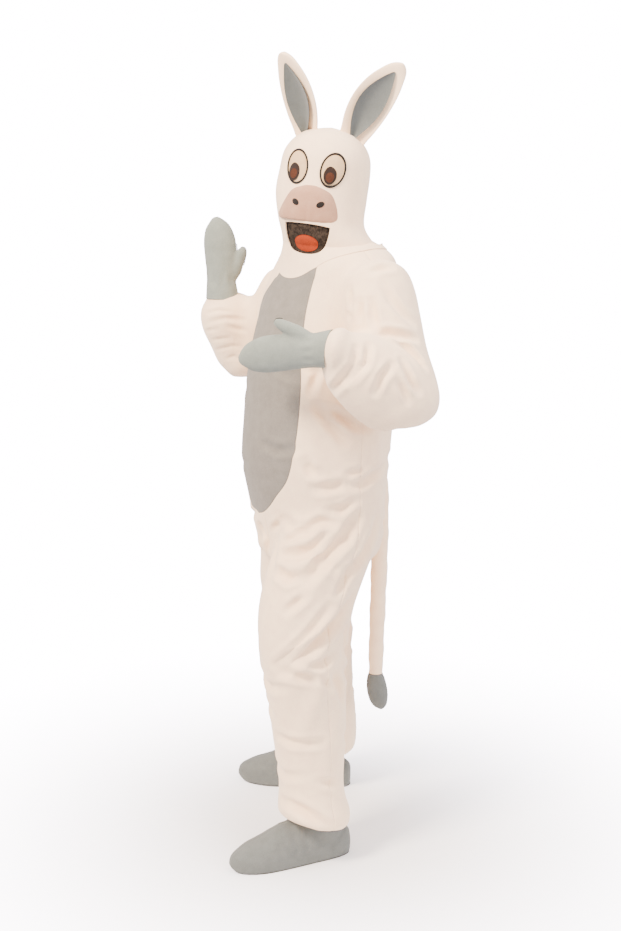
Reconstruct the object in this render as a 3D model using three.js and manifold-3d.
// A plush donkey costume for an adult, as it hangs on a standing wearer who is waving: a jumpsuit with
// sleeves and legs, a hood with ears and a face, two mittens, two shoe covers and a tail.
// Every cloth piece is a thin wall. Millimetres, +Z up. The wearer faces -Y, and the wearer's left is +X.
// Heights in the tables are above the floor. At the end the group is lowered so that its origin is between
// the shoulders, where the wearer carries the suit.
import * as THREE from "three";
import { mergeVertices } from "three/addons/utils/BufferGeometryUtils.js";
import Module from "manifold-3d";

const wasm = await Module();
wasm.setup();

// Driving sizes
const SEAM = 0.3; // gap between pieces that are sewn together or lie on each other
const PLUSH = 4; // short plush: 1 mm backing and 3 mm pile
const FELT = 2.5; // brushed fleece of the mittens and the shoe covers
const SOLE = 3;
const SHOULDER = 1480; // height of the origin, between the wearer's shoulders
const SHOULDER_BACK = 60;
const ARMHOLE = 194; // half-width at which the sleeves are set in
const SLEEVE_SPACE_LOW = 980; // lower than the sleeves and higher than the wide part of the legs
const HEAD_TURN = 41; // degrees, to the wearer's left
const HEAD_TILT = 7; // degrees, towards the wearer's left shoulder
const HEAD_PIVOT = 1600; // height about which the head tilts
const HEAD_AXIS = { x: -16.5, y: 39.5 };
const FACE_REACH = 400; // further than any part of the face sticks out
const OPEN_REACH = 30; // how far a hollow runs past an open end, so that the end is open
const FAR = 3000; // larger than the costume

const table = (columns, rows) => {
  const names = columns.split(" ");
  return rows.map((row) => Object.fromEntries(names.map((name, i) => [name, row[i]])));
};

// Sections of each tube: centre, half-width and half-depth. A leg's hem rises towards the toe, by rise from
// its heel side to its toe side. The folds of a tube are soft troughs drawn on its unrolled surface, from one
// place to another: along runs 0 to 1 down its rows, and turn is the angle round it.
const FOLD_COLUMNS = "along0 turn0 along1 turn1 width depth";
const FOLD_SPREAD = 0.6; // share of its width at which a fold's trough has mostly levelled out
const FOLD_END = 0.45; // share of its depth that a fold keeps at its ends

const TRUNK = {
  level: true,
  segments: 22,
  rows: table("x y z wide deep", [
    [4, 61, 1548, 70, 72],
    [8, 71, 1510, 138, 119],
    [8, 70, 1478, 172, 134],
    [4, 61, 1438, 185, 138],
    [0, 46, 1380, 189, 148],
    [2, 35, 1290, 189, 167],
    [3, 27, 1200, 186, 180],
    [2.5, 22, 1100, 186, 186],
    [0.5, 15, 1000, 188, 182],
    [2, 18.5, 890, 188, 162],
    [3, 24, 815, 184, 147],
    [0, 22, 762, 168, 134],
    [0, 22, 728, 96, 84],
  ]),
  folds: table(FOLD_COLUMNS, [
    [0.62, 330, 0.8, 352, 30, 7],
    [0.72, 318, 0.9, 345, 28, 6],
    [0.55, 20, 0.75, 45, 34, 6],
    [0.3, 300, 0.42, 318, 26, 5],
    [0.34, 236, 0.46, 222, 26, 5],
    [0.66, 208, 0.84, 190, 30, 6],
    [0.4, 60, 0.52, 110, 34, 6],
    [0.7, 130, 0.85, 100, 32, 6],
  ]),
};

const LEFT_LEG = {
  level: true,
  toe: -102,
  segments: 14,
  gathers: { count: 8, from: 0.86, depth: 3.5 },
  rows: table("x y z wide deep rise", [
    [92, 10, 905, 82, 125, 0],
    [96, -2, 830, 98, 138, 0],
    [97, -47, 745, 111, 130, 0],
    [101, -84, 650, 112, 119, 0],
    [105, -98, 555, 106, 111, 0],
    [110, -90, 440, 96, 100, 0],
    [112, -82, 325, 88, 92, 0],
    [115, -79, 215, 80, 82, 4],
    [117, -77, 166, 84, 85, 12],
    [120, -73, 136, 91, 91, 22],
    [120, -73, 110, 88, 88, 32],
    [124, -53, 90, 54, 54, 36],
  ]),
  folds: table(FOLD_COLUMNS, [
    [0.14, 20, 0.34, 300, 26, 8],
    [0.2, 32, 0.42, 318, 24, 8],
    [0.26, 40, 0.5, 300, 26, 9],
    [0.34, 42, 0.56, 320, 24, 8],
    [0.44, 20, 0.6, 330, 22, 7],
    [0.3, 230, 0.44, 262, 24, 6],
    [0.36, 120, 0.5, 180, 26, 7],
    [0.72, 290, 0.78, 350, 22, 5],
    [0.86, 240, 0.92, 320, 18, 7],
    [0.84, 60, 0.9, 150, 20, 6],
  ]),
};

const RIGHT_LEG = {
  level: true,
  toe: -131,
  segments: 14,
  gathers: { count: 8, from: 0.86, depth: 3.5 },
  rows: table("x y z wide deep rise", [
    [-88, 22, 905, 80, 122, 0],
    [-96, 33, 830, 91, 129, 0],
    [-108, 51, 745, 99, 116, 0],
    [-129, 68, 650, 110, 117, 0],
    [-145, 99, 555, 112, 117, 0],
    [-167, 128, 440, 103, 105, 0],
    [-186, 158, 325, 95, 96, 0],
    [-200, 185, 215, 91, 91, 4],
    [-208, 195, 160, 89, 89, 14],
    [-213, 195, 130, 85, 85, 28],
    [-218, 200, 106, 54, 54, 34],
  ]),
  folds: table(FOLD_COLUMNS, [
    [0.16, 160, 0.34, 232, 26, 8],
    [0.22, 150, 0.44, 222, 24, 8],
    [0.3, 140, 0.52, 236, 26, 8],
    [0.4, 150, 0.58, 220, 24, 7],
    [0.34, 330, 0.48, 20, 26, 6],
    [0.72, 190, 0.78, 260, 22, 5],
    [0.86, 200, 0.92, 300, 18, 6],
  ]),
};

// Each sleeve has two tubes that meet in a crease at the inside of the elbow.
const LEFT_UPPER_SLEEVE = {
  segments: 14,
  deepWay: [0, 1, 0],
  rows: table("x y z wide deep", [
    [170, 60, 1481, 30, 34],
    [186, 57, 1453, 65, 77],
    [206, 51, 1413, 74, 90],
    [234, 44, 1356, 74, 92],
    [268, 35, 1283, 76, 93],
    [300, 25, 1212, 92, 101],
    [312, 21, 1172, 96, 102],
    [315, 19, 1140, 80, 86],
    [315, 19, 1122, 50, 54],
  ]),
  folds: table(FOLD_COLUMNS, [
    [0.3, 300, 0.52, 268, 18, 8],
    [0.28, 268, 0.54, 250, 18, 8],
    [0.3, 330, 0.56, 10, 20, 7],
    [0.5, 285, 0.86, 335, 20, 9],
    [0.52, 300, 0.84, 0, 20, 9],
    [0.5, 320, 0.8, 28, 20, 8],
    [0.46, 350, 0.7, 55, 20, 8],
    [0.56, 90, 0.84, 60, 22, 7],
  ]),
};

const LEFT_FORE_SLEEVE = {
  segments: 14,
  deepWay: [0, 0, 1],
  rows: table("x y z wide deep", [
    [312, 58, 1173, 36, 36],
    [310, 48, 1179, 74, 72],
    [308, 20, 1195, 94, 95],
    [303, -22, 1221, 94, 96],
    [297, -68, 1252, 85, 86],
    [290, -110, 1282, 67, 68],
    [286, -137, 1300, 44, 44],
    [284, -150, 1309, 35, 35],
  ]),
  folds: table(FOLD_COLUMNS, [
    [0.34, 40, 0.5, 300, 18, 9],
    [0.46, 42, 0.62, 300, 18, 9],
    [0.56, 44, 0.76, 310, 18, 8],
    [0.3, 60, 0.34, 350, 18, 7],
    [0.5, 140, 0.64, 230, 20, 7],
    [0.68, 60, 0.84, 330, 16, 6],
  ]),
};

// The end of the left sleeve turns into the mitten, which is bent at the wrist.
const LEFT_CUFF = {
  segments: 12,
  deepWay: [0, 0, 1],
  rows: table("x y z wide deep", [
    [330, -115, 1303, 16, 16],
    [316, -126, 1304, 44, 42],
    [301, -137, 1305, 53, 50],
    [289, -146, 1304.6, 39, 37],
    [265, -164.6, 1301, 34, 29],
  ]),
};

const RIGHT_UPPER_SLEEVE = {
  segments: 14,
  deepWay: [0, 1, 0],
  rows: table("x y z wide deep", [
    [-156, 64, 1462, 28, 32],
    [-169, 61, 1432, 58, 68],
    [-187, 53, 1394, 64, 77],
    [-215, 41, 1348, 64, 77],
    [-254, 27, 1302, 65, 78],
    [-284, 14, 1260, 70, 78],
    [-302, 5, 1216, 70, 74],
    [-308, 3, 1184, 48, 50],
    [-308, 3, 1172, 24, 24],
  ]),
  folds: table(FOLD_COLUMNS, [
    [0.3, 250, 0.56, 228, 18, 7],
    [0.34, 280, 0.62, 262, 18, 8],
    [0.5, 200, 0.8, 160, 18, 7],
    [0.55, 230, 0.82, 205, 18, 7],
    [0.5, 90, 0.8, 120, 20, 6],
  ]),
};

const RIGHT_FORE_SLEEVE = {
  segments: 15,
  deepWay: [0, 1, 0],
  gathers: { count: 8, from: 0.78, depth: 3 },
  rows: table("x y z wide deep", [
    [-308, 14, 1198, 30, 30],
    [-308, 11, 1209, 60, 62],
    [-307, 0, 1240, 71, 75],
    [-305, -24, 1288, 72, 76],
    [-304, -47, 1332, 72, 76],
    [-302, -63, 1366, 62, 65],
    [-301, -70, 1385, 44, 44],
    [-300, -74, 1397, 35, 35],
  ]),
  folds: table(FOLD_COLUMNS, [
    [0.34, 210, 0.42, 330, 16, 8],
    [0.5, 200, 0.54, 320, 16, 7],
    [0.64, 230, 0.7, 350, 16, 8],
    [0.46, 20, 0.54, 130, 16, 7],
    [0.7, 60, 0.74, 170, 16, 7],
  ]),
};

// The hood, from the neck up. ahead moves a section towards the face, turn is how far it is turned.
const HOOD = {
  level: true,
  head: true,
  segments: 18,
  rows: table("x y z wide deep ahead turn tilt", [
    [6, 70, 1490, 138, 114, 0, 4, 0],
    [8, 73, 1507, 130, 115, 5, 14, 0.2],
    [7, 72, 1524, 121, 116, 11, 28, 0.6],
    [1, 64, 1544, 112, 114, 18, 38, 0.9],
    [-11, 47, 1582, 105, 115, 17, 41, 1],
    [-16, 39, 1640, 111, 115, 6, 41, 1],
    [-16, 40, 1694, 110, 112, 0, 41, 1],
    [-16, 40, 1737, 105, 107, -4, 41, 1],
    [-16, 41, 1768, 87, 90, -5, 41, 1],
    [-16, 41, 1789, 59, 62, -6, 41, 1],
    [-15, 42, 1799, 26, 28, -6, 41, 1],
  ]),
  folds: table(FOLD_COLUMNS, [
    [0.1, 330, 0.16, 20, 14, 5],
    [0.22, 350, 0.26, 40, 14, 5],
  ]),
};
// The hood's cape on the shoulders: its plan, and the heights between which it is cut out. Its thickness ends
// at the neck, where the hood goes up.
const CAPE = { x: 10, y: 46, wide: 133, front: 121, back: 118, low: 1300, top: 1542 };
const CROWN_SEAM = 30; // the face panel ends this far behind the head's axis

// The belly panel's edges at each height: how far they are to the wearer's left and right of the middle. The
// raised arm pulls the panel to the right.
const BELLY = table("z left right", [
  [1560, 84, 60],
  [1464, 94, 40],
  [1440, 94, 62],
  [1400, 95, 104],
  [1360, 99, 120],
  [1290, 111, 122],
  [1200, 121, 123],
  [1110, 121, 124],
  [1030, 114, 124],
  [970, 96, 119],
  [925, 57, 105],
  [903, 35, 92],
  [886, 12, 76],
  [877, -6, 60],
  [873, -22, 44],
]);

const BELLY_ROUNDS = 1000; // below this height the belly panel's edges draw in to its foot

// Lines that part the fronts from the backs, from the side: the back of the front panel at each height.
const LEFT_SIDE_SEAM = table("y z", [
  [58, 1600],
  [50, 1440],
  [30, 1300],
  [22, 1150],
  [14, 960],
  [8, 850],
  [-35, 745],
  [-92, 590],
  [-92, 480],
  [-80, 355],
  [-75, 200],
  [-75, -20],
]);
const RIGHT_SIDE_SEAM = table("y z", [
  [58, 1600],
  [50, 1440],
  [30, 1300],
  [22, 1150],
  [14, 960],
  [18, 850],
  [42, 745],
  [88, 590],
  [133, 435],
  [174, 275],
  [200, 120],
  [202, -20],
]);

const EYE = { side: 42.5, z: 1703, half: 24, tall: 37, lean: -6, thick: 2, rim: 3.4, rimThick: 3 };
const PUPIL = { side: -4, drop: 13, half: 14, tall: 21, thick: 1.6 };
const MUZZLE = {
  level: true,
  head: true,
  segments: 20,
  rows: table("x y z wide deep ahead turn tilt", [
    [-16.5, 39.5, 1580, 75, 47, 86, 41, 1],
    [-16.5, 39.5, 1590, 81.6, 61.5, 74.5, 41, 1],
    [-16.5, 39.5, 1609, 75.3, 59.4, 77.6, 41, 1],
    [-16.5, 39.5, 1626, 66.8, 50.2, 85.8, 41, 1],
    [-16.5, 39.5, 1645, 55, 37.4, 94.6, 41, 1],
    [-16.5, 39.5, 1655, 40.3, 22.4, 104.6, 41, 1],
    [-16.5, 39.5, 1664, 13.8, 6, 114.5, 41, 1],
  ]),
};
const NOSTRIL = { side: 30, z: 1622, half: 9.5, tall: 6.5, lean: 32, thick: 1.6, from: 105 };
const MOUTH = { top: 1572, bottom: 1508, topHalf: 58, lowHalf: 29 };
const MOUTH_CURVE = { curveSegments: 5 };
const MOUTH_NET = { margin: 9, thick: 2 };
const TONGUE = { z: 1534, half: 32, tall: 21, thick: 4.4 };

const EAR = {
  half: 48,
  thick: 17,
  cup: 16,
  side: 50,
  z: 1766,
  back: 4,
  tipOut: 44,
  middleIn: 40,
};
// How each ear stands: leaning out and ahead, turned out, and its tip curled ahead. The right one has
// flopped over a little.
const EAR_POSE = {
  left: { lean: 27, ahead: 0, turn: 12, curl: 14, length: 228 },
  right: { lean: 15, ahead: 16, turn: 23, curl: 24, length: 217 },
};
const EAR_GRID = [8, 6]; // faces along and across
const EAR_LINING = { scale: 0.66, thick: 1.8, from: 0.07, to: 0.88, dip: 1.6 };
const EAR_OUTLINE = table("along half", [
  [0, 0.64],
  [0.125, 0.74],
  [0.25, 0.89],
  [0.375, 0.98],
  [0.5, 1],
  [0.625, 0.95],
  [0.75, 0.82],
  [0.875, 0.6],
  [1, 0.2],
]);

// Mittens, in their own frame: along the hand from the cuff, thumb towards +X, palm towards -Y.
const MITTEN_PALM = {
  segments: 12,
  deepWay: [0, 1, 0],
  rows: table("x y z wide deep", [
    [0, 0, -6, 42, 40],
    [0, 0, 20, 40, 33],
    [1, 0, 55, 39, 28],
    [2, 0, 98, 42, 26],
    [1, 0, 142, 42, 25],
    [-2, 0, 178, 33, 20],
    [-5, 0, 200, 16, 12],
    [-6, 0, 208, 6, 5],
  ]),
};
const MITTEN_THUMB = {
  segments: 8,
  deepWay: [0, 1, 0],
  rows: table("x y z wide deep", [
    [21, 0, 24, 12, 12],
    [33, -1, 52, 18, 16],
    [46, -2, 82, 16, 15],
    [57, -3, 108, 12, 12],
    [62, -4, 122, 6, 6],
  ]),
};
// The thumb of the level hand is held further out.
const OPEN_THUMB = {
  segments: 8,
  deepWay: [0, 1, 0],
  rows: table("x y z wide deep", [
    [21, 0, 20, 12, 12],
    [35, -1, 46, 18, 16],
    [52, -2, 73, 16, 15],
    [68, -3, 97, 12, 12],
    [75, -4, 108, 6, 6],
  ]),
};
// The cuff of each mitten is at the end of its sleeve. The cloth of the raised one has slid down a little, so
// its length is a share of the other's.
const LEFT_HAND = {
  cuff: [279, -154, 1303],
  tip: [111, -284, 1278],
  thumb: [0.15, 0, 1],
  thumbTube: OPEN_THUMB,
  length: 1,
  name: "left",
};
const RIGHT_HAND = {
  cuff: [-301, -69, 1396],
  tip: [-309, -74, 1596],
  thumb: [0.574, 0.819, 0.05],
  thumbTube: MITTEN_THUMB,
  length: 0.94,
  name: "right",
};

// Shoe covers, in their own frame: from the heel along +X, standing on the floor.
const FOOT = {
  segments: 11,
  deepWay: [0, 0, 1],
  rows: table("x y z wide deep", [
    [-2, 0, 30, 8, 26],
    [8, 0, 30, 27, 40],
    [40, 0, 30, 38, 56],
    [110, 0, 30, 41, 87],
    [180, 0, 26, 45, 78],
    [236, 0, 25, 46, 57],
    [278, 0, 26, 37, 43],
    [306, 0, 29, 22, 26],
    [320, 0, 31, 8, 12],
  ]),
};
const ANKLE = {
  level: true,
  segments: 12,
  rows: table("x y z wide deep", [
    [70, 0, 40, 62, 36],
    [73, 0, 88, 50, 46],
    [74, 0, 172, 48, 48],
  ]),
};
const LEFT_FOOT = { heel: [139, 20], turn: -102 };
const RIGHT_FOOT = { heel: [-170, 256], turn: -131 };

const TAIL = {
  segments: 12,
  deepWay: [1, 0, 0],
  rows: table("x y z wide deep", [
    [0, 150, 985, 22, 22],
    [0, 182, 976, 25, 25],
    [2, 206, 950, 25, 25],
    [3, 216, 900, 24, 24],
    [4, 219, 820, 23, 23],
    [3, 219, 700, 22, 22],
    [1, 217, 580, 21, 21],
    [0, 214, 470, 20, 20],
    [0, 213, 392, 19, 19],
  ]),
};
const TAIL_TIP = {
  segments: 14,
  deepWay: [1, 0, 0],
  rows: table("x y z wide deep", [
    [0, 213, 391.7, 19, 19],
    [0, 213, 378, 24, 23],
    [2, 215, 354, 28, 25],
    [6, 219, 325, 27, 23],
    [10, 224, 303, 18, 15],
    [11, 226, 292, 6, 5],
  ]),
};

// The back zip: a strip of tape with the row of teeth on it, on the centre back seam.
const ZIP = { top: 1455, bottom: 1035, half: 11, thick: 1.2, teethHalf: 3, teethThick: 1.5 };

const plush = (colour) => new THREE.MeshStandardMaterial({ color: colour, roughness: 0.95, metalness: 0 });
const MATERIALS = {
  white: plush(0xf2e9df),
  belly: plush(0xb9b0a2),
  grey: plush(0xaeb2ab),
  boot: plush(0xa4a398),
  lining: plush(0x9c9a92),
  muzzle: plush(0xdcc0aa),
  eye: new THREE.MeshStandardMaterial({ color: 0xf3dfc6, roughness: 0.7 }),
  black: new THREE.MeshStandardMaterial({ color: 0x17110d, roughness: 0.7 }),
  pupil: new THREE.MeshStandardMaterial({ color: 0x6b4a38, roughness: 0.5 }),
  net: new THREE.MeshStandardMaterial({ color: 0x4a423a, roughness: 0.9 }),
  tongue: plush(0xcf5f40),
  zip: new THREE.MeshStandardMaterial({ color: 0xe6ddd2, roughness: 0.6 }),
};

const vector = (list) => new THREE.Vector3(...list);
const radians = THREE.MathUtils.degToRad;

// The values of every column at a share of the way down the rows, on a smooth curve through them.
function between(rows, share) {
  const place = THREE.MathUtils.clamp(share, 0, 1) * (rows.length - 1);
  const first = Math.min(Math.floor(place), rows.length - 2);
  const f = place - first;
  const row = (i) => rows[THREE.MathUtils.clamp(i, 0, rows.length - 1)];
  return Object.fromEntries(
    Object.keys(rows[0]).map((name) => {
      const [a, b, c, d] = [-1, 0, 1, 2].map((step) => row(first + step)[name]);
      const bend = (2 * a - 5 * b + 4 * c - d) * f * f + (3 * b - a - 3 * c + d) * f ** 3;
      return [name, b + 0.5 * ((c - a) * f + bend)];
    }),
  );
}

// The direction that the head faces, and a turn of the tilted head about it.
const FACING = vector([0, -1, 0]).applyAxisAngle(vector([0, 0, 1]), radians(HEAD_TURN));
function tilted(point, share) {
  const pivot = vector([HEAD_AXIS.x, HEAD_AXIS.y, HEAD_PIVOT]);
  return point.sub(pivot).applyAxisAngle(FACING, -radians(HEAD_TILT) * share).add(pivot);
}

// How far a place on a tube is pressed in by its folds and gathers. size is the tube's mean radius there.
function pressed(tube, share, degrees, size, length) {
  let depth = 0;
  for (const fold of tube.folds ?? []) {
    const unroll = radians(size);
    const nearest = ((degrees - fold.turn0 + 540) % 360) - 180;
    const swing = ((fold.turn1 - fold.turn0 + 540) % 360) - 180;
    const start = new THREE.Vector2(0, fold.along0 * length);
    const run = new THREE.Vector2(swing * unroll, fold.along1 * length).sub(start);
    const here = new THREE.Vector2(nearest * unroll, share * length).sub(start);
    const part = THREE.MathUtils.clamp(here.dot(run) / run.lengthSq(), 0, 1);
    const away = here.distanceTo(run.clone().multiplyScalar(part));
    const across = Math.exp(-((away / (fold.width * FOLD_SPREAD)) ** 2));
    const along = FOLD_END + (1 - FOLD_END) * Math.sin(Math.PI * part);
    depth += fold.depth * across * along;
  }
  if (tube.gathers) {
    const grown = THREE.MathUtils.smoothstep(share, tube.gathers.from - 0.1, tube.gathers.from + 0.08);
    depth += tube.gathers.depth * grown * Math.cos(radians(degrees) * tube.gathers.count);
  }
  return depth;
}

// The rings of a tube, from its first row to its last.
function ringsOf(tube) {
  const steps = tube.rows.length - 1;
  const centres = tube.rows.map((row) => vector([row.x, row.y, row.z]));
  const length = centres.slice(1).reduce((sum, c, i) => sum + c.distanceTo(centres[i]), 0);
  return tube.rows.map((row, i) => {
    const share = i / steps;
    const along = centres[Math.min(i + 1, steps)].clone().sub(centres[Math.max(i - 1, 0)]).normalize();
    const centre = centres[i].clone();
    let across = vector([1, 0, 0]);
    let deep = vector([0, 1, 0]);
    if (!tube.level) {
      deep = vector(tube.deepWay).addScaledVector(along, -along.dot(vector(tube.deepWay))).normalize();
      across = deep.clone().cross(along).normalize();
    }
    if (tube.head) {
      across.applyAxisAngle(vector([0, 0, 1]), radians(row.turn));
      deep.applyAxisAngle(vector([0, 0, 1]), radians(row.turn));
      centre.addScaledVector(deep, -row.ahead);
    }
    const ring = [];
    for (let j = 0; j < tube.segments; j++) {
      const degrees = (360 * j) / tube.segments;
      const press = pressed(tube, share, degrees, (row.wide + row.deep) / 2, length);
      const point = centre
        .clone()
        .addScaledVector(across, (row.wide - press) * Math.cos(radians(degrees)))
        .addScaledVector(deep, (row.deep - press) * Math.sin(radians(degrees)));
      if (tube.toe) point.z += (row.rise / 2) * Math.cos(radians(degrees - tube.toe));
      ring.push(tube.head ? tilted(point, row.tilt) : point);
    }
    return ring;
  });
}

const middle = (ring) => ring.reduce((sum, p) => sum.add(p), new THREE.Vector3()).divideScalar(ring.length);

// The rings moved out by grow along the surface's normals. An open end runs on by its reach instead.
function grownRings(tube, grow, startReach, endReach) {
  const rings = ringsOf(tube);
  const last = rings.length - 1;
  const endWay = (ring, next) => middle(ring).sub(middle(next)).normalize();
  const startWay = endWay(rings[0], rings[1]);
  const stopWay = endWay(rings[last], rings[last - 1]);
  const moved = rings.map((ring, i) => {
    const centre = middle(ring);
    return ring.map((point, j) => {
      const n = ring.length;
      const round = ring[(j + 1) % n].clone().sub(ring[(j + n - 1) % n]);
      const down = rings[Math.min(i + 1, last)][j].clone().sub(rings[Math.max(i - 1, 0)][j]);
      const normal = round.cross(down).normalize();
      if (normal.dot(point.clone().sub(centre)) < 0) normal.negate();
      const closedWay = i === 0 && !startReach ? startWay : i === last && !endReach ? stopWay : null;
      const share = closedWay ? 1 / (1 + normal.dot(closedWay)) : 1;
      if (closedWay) normal.add(closedWay);
      return point.clone().addScaledVector(normal, grow * share);
    });
  });
  const beyond = (ring, way, reach) => ring.map((p) => p.clone().addScaledVector(way, reach));
  if (startReach) moved.unshift(beyond(moved[0], startWay, startReach));
  if (endReach) moved.push(beyond(moved.at(-1), stopWay, endReach));
  return moved;
}

// A closed solid through rings, with a flat fan at each end.
function throughRings(rings) {
  const n = rings[0].length;
  const points = rings.flat();
  const faces = [];
  for (let i = 0; i + 1 < rings.length; i++) {
    for (let j = 0; j < n; j++) {
      const [a, b] = [i * n + j, i * n + ((j + 1) % n)];
      faces.push([a, b, b + n], [a, b + n, a + n]);
    }
  }
  const start = points.push(middle(rings[0])) - 1;
  const end = points.push(middle(rings.at(-1))) - 1;
  const lastRing = (rings.length - 1) * n;
  for (let j = 0; j < n; j++) {
    const next = (j + 1) % n;
    faces.push([start, next, j], [end, lastRing + j, lastRing + next]);
  }
  return closed(points, faces);
}

// A solid from points and triangles, turned to face out.
function closed(points, faces) {
  const make = (flip) =>
    new wasm.Manifold(
      new wasm.Mesh({
        numProp: 3,
        vertProperties: new Float32Array(points.flatMap((p) => p.toArray())),
        triVerts: new Uint32Array(faces.flatMap(([a, b, c]) => (flip ? [a, c, b] : [a, b, c]))),
      }),
    );
  const made = make(false);
  return made.volume() > 0 ? made : make(true);
}

function tubeSolid(tube, grow = 0, startReach = 0, endReach = 0) {
  return throughRings(grownRings(tube, grow, startReach, endReach));
}

// A three.js geometry as a solid.
function solidFrom(geometry, matrix = new THREE.Matrix4()) {
  const bare = geometry.clone().applyMatrix4(matrix);
  bare.deleteAttribute("normal");
  bare.deleteAttribute("uv");
  const merged = mergeVertices(bare, 1e-4);
  const at = merged.getAttribute("position");
  const points = Array.from({ length: at.count }, (_, i) => new THREE.Vector3().fromBufferAttribute(at, i));
  const index = merged.index.array;
  const faces = Array.from({ length: index.length / 3 }, (_, i) => [...index.slice(3 * i, 3 * i + 3)]);
  return closed(points, faces);
}

// A block of space with one face on a plane, on the side that the normal points away from.
function behind(point, normal) {
  const turn = new THREE.Quaternion().setFromUnitVectors(vector([0, 0, 1]), vector(normal).normalize());
  const centre = vector(point).addScaledVector(vector(normal).normalize(), -FAR / 2);
  const matrix = new THREE.Matrix4().compose(centre, turn, vector([1, 1, 1]));
  return solidFrom(new THREE.BoxGeometry(FAR, FAR, FAR), matrix);
}

const above = (z) => behind([0, 0, z], [0, 0, -1]);
const below = (z) => behind([0, 0, z], [0, 0, 1]);

// Moves a shape drawn across the head (side, height) to the face, as a prism that runs forward from a
// distance in front of the head's axis.
function facePrism(shape, { from = 0, curveSegments = 7 } = {}) {
  const settings = { depth: FACE_REACH - from, bevelEnabled: false, curveSegments };
  const prism = new THREE.ExtrudeGeometry(shape, settings);
  prism.translate(0, 0, from);
  prism.rotateX(Math.PI / 2);
  return solidFrom(prism, headMatrix());
}

// From the upright head, which faces -Y with its axis at x = 0, y = 0, to where the head is.
function headMatrix() {
  const turned = new THREE.Matrix4()
    .makeRotationZ(radians(HEAD_TURN))
    .setPosition(HEAD_AXIS.x, HEAD_AXIS.y, 0);
  const toPivot = new THREE.Matrix4().makeTranslation(-HEAD_AXIS.x, -HEAD_AXIS.y, -HEAD_PIVOT);
  const tilt = new THREE.Matrix4().makeRotationAxis(FACING, -radians(HEAD_TILT));
  const back = new THREE.Matrix4().makeTranslation(HEAD_AXIS.x, HEAD_AXIS.y, HEAD_PIVOT);
  return back.multiply(tilt).multiply(toPivot).multiply(turned);
}

function ellipse(side, z, half, tall, lean = 0) {
  return new THREE.Shape().absellipse(side, z, half, tall, 0, 2 * Math.PI, false, radians(lean));
}

// A prism along X between two lines of the side view: everything in front of the seam line.
function frontOf(seam, shift) {
  const line = seam.map((row) => new THREE.Vector2(row.y + shift, row.z));
  const shape = new THREE.Shape([...line, new THREE.Vector2(-FAR, -20), new THREE.Vector2(-FAR, 1600)]);
  const prism = new THREE.ExtrudeGeometry(shape, { depth: FAR, bevelEnabled: false });
  const toSide = new THREE.Matrix4().makeBasis(vector([0, 1, 0]), vector([0, 0, 1]), vector([1, 0, 0]));
  return solidFrom(prism, toSide.setPosition(-FAR / 2, 0, 0));
}

// The belly panel's outline from the front, grown by grow, as a prism in front of the trunk.
function bellyPrism(grow) {
  const height = (row) => (row.z < BELLY_ROUNDS ? row.z - grow : row.z);
  const left = BELLY.map((row) => new THREE.Vector2(row.left + grow, height(row)));
  const right = BELLY.map((row) => new THREE.Vector2(-row.right - grow, height(row))).reverse();
  const shape = new THREE.Shape([...left, ...right]);
  const prism = new THREE.ExtrudeGeometry(shape, { depth: FAR, bevelEnabled: false });
  return solidFrom(prism, new THREE.Matrix4().makeRotationX(Math.PI / 2));
}

function union(solids) {
  return solids.reduce((sum, solid) => sum.add(solid));
}

// The suit
const SLEEVES = {
  left: [LEFT_UPPER_SLEEVE, LEFT_FORE_SLEEVE, LEFT_CUFF],
  right: [RIGHT_UPPER_SLEEVE, RIGHT_FORE_SLEEVE],
};
const ALL_SLEEVES = [...SLEEVES.left, ...SLEEVES.right];

function suitWall() {
  const outer = union([TRUNK, LEFT_LEG, RIGHT_LEG, ...ALL_SLEEVES].map((tube) => tubeSolid(tube)));
  const inner = union([
    tubeSolid(TRUNK, -PLUSH, OPEN_REACH, 0),
    tubeSolid(LEFT_LEG, -PLUSH, 0, OPEN_REACH),
    tubeSolid(RIGHT_LEG, -PLUSH, 0, OPEN_REACH),
    tubeSolid(LEFT_UPPER_SLEEVE, -PLUSH),
    tubeSolid(RIGHT_UPPER_SLEEVE, -PLUSH),
    tubeSolid(LEFT_FORE_SLEEVE, -PLUSH),
    tubeSolid(LEFT_CUFF, -PLUSH, 0, OPEN_REACH),
    tubeSolid(RIGHT_FORE_SLEEVE, -PLUSH, 0, OPEN_REACH),
  ]);
  return outer.subtract(inner).subtract(shoeSolid(LEFT_FOOT, SEAM)).subtract(shoeSolid(RIGHT_FOOT, SEAM));
}

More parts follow.
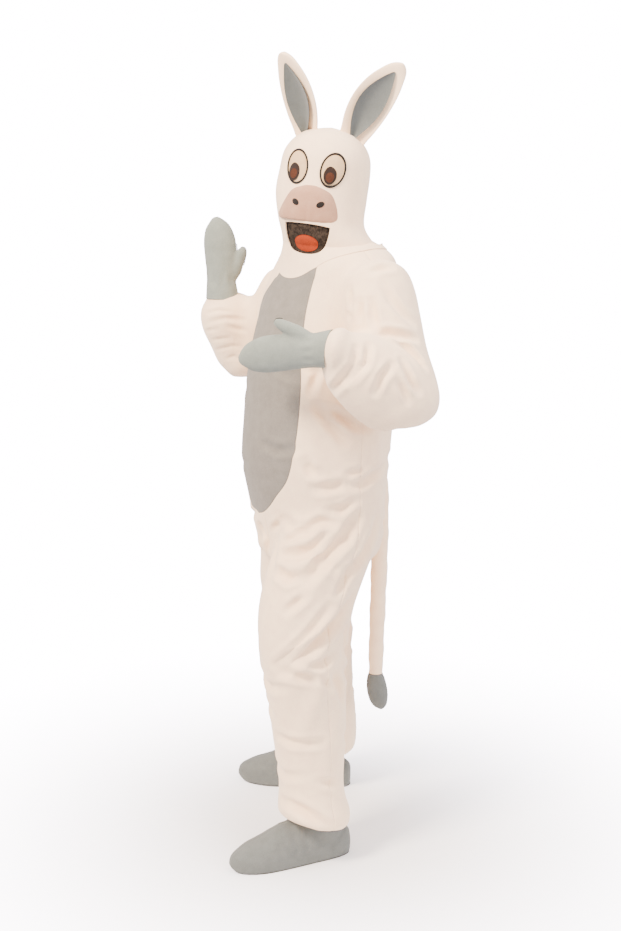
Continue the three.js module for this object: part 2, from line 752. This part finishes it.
function suitPanels() {
  const wall = suitWall();
  const half = SEAM / 2;
  const leftOfSeam = (x) => behind([x, 0, 0], [-1, 0, 0]);
  const rightOfSeam = (x) => behind([x, 0, 0], [1, 0, 0]);
  const sleeveSpace = (reach) => {
    const out = leftOfSeam(ARMHOLE + reach).add(rightOfSeam(-ARMHOLE - reach));
    return out.intersect(above(SLEEVE_SPACE_LOW));
  };
  const sleeves = wall.intersect(sleeveSpace(half));
  const body = wall.subtract(sleeveSpace(-half));
  const belly = body.intersect(bellyPrism(-half)).intersect(frontOf(LEFT_SIDE_SEAM, -half));
  const around = body.subtract(bellyPrism(half).intersect(frontOf(LEFT_SIDE_SEAM, 0)));
  const leftHalf = around.intersect(leftOfSeam(half));
  const rightHalf = around.intersect(rightOfSeam(-half));
  return {
    sleeve_left: sleeves.intersect(leftOfSeam(0)),
    sleeve_right: sleeves.intersect(rightOfSeam(0)),
    belly_panel: belly,
    front_left: leftHalf.intersect(frontOf(LEFT_SIDE_SEAM, -half)),
    front_right: rightHalf.intersect(frontOf(RIGHT_SIDE_SEAM, -half)),
    back_left: leftHalf.subtract(frontOf(LEFT_SIDE_SEAM, half)),
    back_right: rightHalf.subtract(frontOf(RIGHT_SIDE_SEAM, half)),
  };
}

// The hood, with its cape on the suit's shoulders
function capeRegion() {
  const shape = new THREE.Shape();
  const steps = 32;
  for (let i = 0; i < steps; i++) {
    const turn = (2 * Math.PI * i) / steps;
    const deep = Math.sin(turn) < 0 ? CAPE.front : CAPE.back;
    const [x, y] = [CAPE.x + CAPE.wide * Math.cos(turn), CAPE.y + deep * Math.sin(turn)];
    if (i) shape.lineTo(x, y);
    else shape.moveTo(x, y);
  }
  const column = new THREE.ExtrudeGeometry(shape, { depth: CAPE.top - CAPE.low, bevelEnabled: false });
  return solidFrom(column.translate(0, 0, CAPE.low));
}

// The suit's top with its shoulders, filled and grown
function shoulders(grow) {
  const sleeves = tubeSolid(LEFT_UPPER_SLEEVE, grow).add(tubeSolid(RIGHT_UPPER_SLEEVE, grow));
  return tubeSolid(TRUNK, grow, OPEN_REACH).add(sleeves);
}

function hoodPanels() {
  const half = SEAM / 2;
  const suitBelow = shoulders(SEAM);
  const head = tubeSolid(HOOD);
  const hollow = tubeSolid(HOOD, -PLUSH, OPEN_REACH);
  const cape = shoulders(SEAM + PLUSH).intersect(capeRegion());
  const wall = head.add(cape).subtract(hollow).subtract(suitBelow);
  const mouth = facePrism(mouthShape(0), MOUTH_CURVE);
  const open = wall.subtract(mouth);
  const faceNormal = FACING.clone().negate().toArray();
  const seamPoint = vector([0, CROWN_SEAM, HEAD_PIVOT]).applyMatrix4(headMatrix());
  const at = (shift) => behind(seamPoint.clone().addScaledVector(FACING, -shift).toArray(), faceNormal);
  return { hood_face: open.intersect(at(-half)), hood_back: open.subtract(at(half)) };
}

function mouthShape(margin) {
  const { top, bottom, topHalf, lowHalf } = MOUTH;
  const shape = new THREE.Shape();
  shape.moveTo(-topHalf - margin, top + margin);
  shape.quadraticCurveTo(-topHalf - margin, bottom + 8 - margin, -lowHalf, bottom - margin);
  shape.quadraticCurveTo(0, bottom - 7 - margin, lowHalf, bottom - margin);
  shape.quadraticCurveTo(topHalf + margin, bottom + 8 - margin, topHalf + margin, top + margin);
  shape.quadraticCurveTo(0, top + 7 + margin, -topHalf - margin, top + margin);
  return shape;
}

// A layer that lies on the hood, from low to high above its outside, inside an outline on the face.
function faceLayer(low, high, outline) {
  return tubeSolid(HOOD, high).subtract(tubeSolid(HOOD, low)).intersect(outline);
}

function faceParts() {
  const parts = {};
  for (const [name, sign] of [["left", 1], ["right", -1]]) {
    const lean = sign * EYE.lean;
    const eye = (grow) => facePrism(ellipse(sign * EYE.side, EYE.z, EYE.half + grow, EYE.tall + grow, lean));
    parts["eye_" + name] = faceLayer(SEAM, SEAM + EYE.thick, eye(0));
    const ring = eye(SEAM + EYE.rim).subtract(eye(SEAM));
    parts["eye_rim_" + name] = faceLayer(SEAM, SEAM + EYE.rimThick, ring);
    const spot = ellipse(sign * EYE.side + PUPIL.side, EYE.z - PUPIL.drop, PUPIL.half, PUPIL.tall);
    const pupil = facePrism(spot).intersect(eye(-SEAM));
    const onEye = 2 * SEAM + EYE.thick;
    parts["pupil_" + name] = faceLayer(onEye, onEye + PUPIL.thick, pupil);
    const hole = ellipse(sign * NOSTRIL.side, NOSTRIL.z, NOSTRIL.half, NOSTRIL.tall, sign * NOSTRIL.lean);
    const nostril = facePrism(hole, { from: NOSTRIL.from, curveSegments: 5 });
    const skin = tubeSolid(MUZZLE, SEAM + NOSTRIL.thick).subtract(tubeSolid(MUZZLE, SEAM));
    parts["nostril_" + name] = skin.intersect(nostril);
  }
  parts.muzzle = tubeSolid(MUZZLE).subtract(tubeSolid(HOOD, SEAM));
  const net = facePrism(mouthShape(MOUTH_NET.margin), MOUTH_CURVE).subtract(shoulders(SEAM));
  parts.mouth_net = faceLayer(-PLUSH - SEAM - MOUTH_NET.thick, -PLUSH - SEAM, net);
  const inMouth = facePrism(mouthShape(-SEAM), MOUTH_CURVE).subtract(shoulders(SEAM));
  const tongue = facePrism(ellipse(0, TONGUE.z, TONGUE.half, TONGUE.tall)).intersect(inMouth);
  parts.tongue = faceLayer(-PLUSH, TONGUE.thick - PLUSH, tongue);
  return parts;
}

// A point of an ear: along 0 to 1 from its root, across -1 to 1 and out from its middle sheet. outward is
// 1 or -1, for the side that its tip bends to, and curl in its pose is how far its tip is ahead.
function earPoint(along, across, out, scale, outward, pose) {
  const half = EAR.half * between(EAR_OUTLINE, along).half * scale;
  const cup = EAR.cup * (across * across - 0.4) * Math.sin(Math.PI * Math.min(1, along * 0.9 + 0.15));
  const sway = outward * along * (EAR.tipOut * along - EAR.middleIn);
  return vector([across * half + sway, -cup - out - pose.curl * along * along, pose.length * along]);
}

// A leaf-shaped closed solid with a front and a back skin, thick in its middle.
function earLeaf(front, back, from, to, scale, outward, pose) {
  const [rows, columns] = EAR_GRID;
  const points = [];
  for (const skin of [front, back]) {
    for (let i = 0; i <= rows; i++) {
      for (let j = 0; j <= columns; j++) {
        const [along, across] = [from + ((to - from) * i) / rows, (2 * j) / columns - 1];
        points.push(earPoint(along, across, skin(along, across), scale(i / rows), outward, pose));
      }
    }
  }
  const at = (skin, i, j) => skin * (rows + 1) * (columns + 1) + i * (columns + 1) + j;
  const faces = [];
  const quad = (a, b, c, d) => faces.push([a, b, c], [a, c, d]);
  for (let i = 0; i < rows; i++) {
    for (let j = 0; j < columns; j++) {
      quad(at(0, i, j), at(0, i, j + 1), at(0, i + 1, j + 1), at(0, i + 1, j));
      quad(at(1, i, j), at(1, i + 1, j), at(1, i + 1, j + 1), at(1, i, j + 1));
    }
    quad(at(0, i, 0), at(0, i + 1, 0), at(1, i + 1, 0), at(1, i, 0));
    quad(at(0, i, columns), at(1, i, columns), at(1, i + 1, columns), at(0, i + 1, columns));
  }
  for (let j = 0; j < columns; j++) {
    quad(at(0, 0, j), at(1, 0, j), at(1, 0, j + 1), at(0, 0, j + 1));
    quad(at(0, rows, j), at(0, rows, j + 1), at(1, rows, j + 1), at(1, rows, j));
  }
  return closed(points, faces);
}

function ears() {
  const parts = {};
  const round = (across) => Math.sqrt(Math.max(0, 1 - across * across));
  const bulge = (along, across) => (EAR.thick / 2) * (0.3 + 0.7 * round(across));
  const full = () => 1;
  const narrowed = (share) => EAR_LINING.scale * (0.06 + 0.94 * Math.sin(Math.PI * share) ** 0.6);
  const onFront = (lift) => (along, across) => EAR.thick / 2 + lift - EAR_LINING.dip * across * across;
  for (const [name, sign] of [["left", 1], ["right", -1]]) {
    const pose = EAR_POSE[name];
    const place = headMatrix()
      .multiply(new THREE.Matrix4().makeTranslation(sign * EAR.side, EAR.back, EAR.z))
      .multiply(new THREE.Matrix4().makeRotationX(radians(pose.ahead)))
      .multiply(new THREE.Matrix4().makeRotationY(radians(sign * pose.lean)))
      .multiply(new THREE.Matrix4().makeRotationZ(radians(sign * pose.turn)));
    const flat = place.elements;
    const ear = earLeaf(bulge, (a, c) => -bulge(a, c), 0, 1, full, sign, pose).transform(flat);
    parts["ear_" + name] = ear.subtract(tubeSolid(HOOD, SEAM));
    const { thick, from, to } = EAR_LINING;
    const lining = earLeaf(onFront(SEAM + thick), onFront(SEAM), from, to, narrowed, sign, pose);
    parts["ear_lining_" + name] = lining.transform(flat).subtract(tubeSolid(HOOD, SEAM));
  }
  return parts;
}

// The mittens, whose cuffs lie over the ends of the sleeves
function mitten(hand) {
  const along = vector(hand.tip).sub(vector(hand.cuff)).normalize();
  const side = vector(hand.thumb).addScaledVector(along, -along.dot(vector(hand.thumb))).normalize();
  const place = new THREE.Matrix4().makeBasis(side, along.clone().cross(side), along);
  place.scale(vector([1, 1, hand.length])).setPosition(vector(hand.cuff));
  const outer = tubeSolid(MITTEN_PALM).add(tubeSolid(hand.thumbTube));
  const inner = tubeSolid(MITTEN_PALM, -FELT, OPEN_REACH).add(tubeSolid(hand.thumbTube, -FELT));
  const wall = outer.subtract(inner).transform(place.elements);
  const sleeve = union(SLEEVES[hand.name].map((tube) => tubeSolid(tube, SEAM)));
  return wall.subtract(sleeve);
}

// The shoe covers: an upper with a shaft that goes up inside the trouser leg, whose hem grips it, and a sole
function shoeSolid(foot, grow, openReach = 0) {
  const place = new THREE.Matrix4().makeRotationZ(radians(foot.turn));
  place.setPosition(foot.heel[0], foot.heel[1], 0);
  return tubeSolid(FOOT, grow).add(tubeSolid(ANKLE, grow, 0, openReach)).transform(place.elements);
}

function shoeCover(foot) {
  const outer = shoeSolid(foot, 0);
  return {
    upper: outer.subtract(shoeSolid(foot, -FELT, OPEN_REACH)).intersect(above(SOLE + SEAM)),
    sole: outer.intersect(above(0)).intersect(below(SOLE)),
  };
}

function tailParts() {
  const suit = union([TRUNK, LEFT_LEG, RIGHT_LEG].map((tube) => tubeSolid(tube, SEAM)));
  return { tail: tubeSolid(TAIL).subtract(suit), tail_tip: tubeSolid(TAIL_TIP) };
}

// Strips on the outside of the back, made from the trunk's points moved out
function zipParts() {
  const strip = (low, high, half) => {
    const slot = new THREE.BoxGeometry(2 * half, FAR, ZIP.top - ZIP.bottom);
    slot.translate(0, FAR / 2 + SHOULDER_BACK, (ZIP.top + ZIP.bottom) / 2);
    return tubeSolid(TRUNK, high).subtract(tubeSolid(TRUNK, low)).intersect(solidFrom(slot));
  };
  const onTape = 2 * SEAM + ZIP.thick;
  return {
    zip_tape: strip(SEAM, SEAM + ZIP.thick, ZIP.half),
    zip_teeth: strip(onTape, onTape + ZIP.teethThick, ZIP.teethHalf),
  };
}

// One named mesh
function pieceOf(name, solid, material) {
  const { numProp, numVert, vertProperties, triVerts } = solid.getMesh();
  const points = new Float32Array(numVert * 3);
  for (let i = 0; i < numVert; i++) points.set(vertProperties.subarray(i * numProp, i * numProp + 3), i * 3);
  const geometry = new THREE.BufferGeometry()
    .setAttribute("position", new THREE.BufferAttribute(points, 3))
    .setIndex(new THREE.BufferAttribute(triVerts, 1));
  geometry.computeVertexNormals();
  const piece = new THREE.Mesh(geometry, material);
  piece.name = name;
  return piece;
}

function materialOf(name) {
  const kinds = [
    ["belly", "belly"],
    ["mitten", "grey"],
    ["shoe", "boot"],
    ["sole", "boot"],
    ["tail_tip", "boot"],
    ["ear_lining", "lining"],
    ["muzzle", "muzzle"],
    ["eye_rim", "black"],
    ["eye", "eye"],
    ["nostril", "black"],
    ["pupil", "pupil"],
    ["mouth_net", "net"],
    ["tongue", "tongue"],
    ["zip", "zip"],
  ];
  const found = kinds.find(([start]) => name.startsWith(start));
  return MATERIALS[found ? found[1] : "white"];
}

const [leftShoe, rightShoe] = [LEFT_FOOT, RIGHT_FOOT].map(shoeCover);
const solids = {
  ...suitPanels(),
  ...hoodPanels(),
  ...faceParts(),
  ...ears(),
  mitten_left: mitten(LEFT_HAND),
  mitten_right: mitten(RIGHT_HAND),
  shoe_left: leftShoe.upper,
  shoe_right: rightShoe.upper,
  sole_left: leftShoe.sole,
  sole_right: rightShoe.sole,
  ...tailParts(),
  ...zipParts(),
};

const costume = new THREE.Group();
costume.name = "donkey_costume";
costume.position.set(0, -SHOULDER_BACK, -SHOULDER);
for (const [name, solid] of Object.entries(solids)) costume.add(pieceOf(name, solid, materialOf(name)));

export default costume;
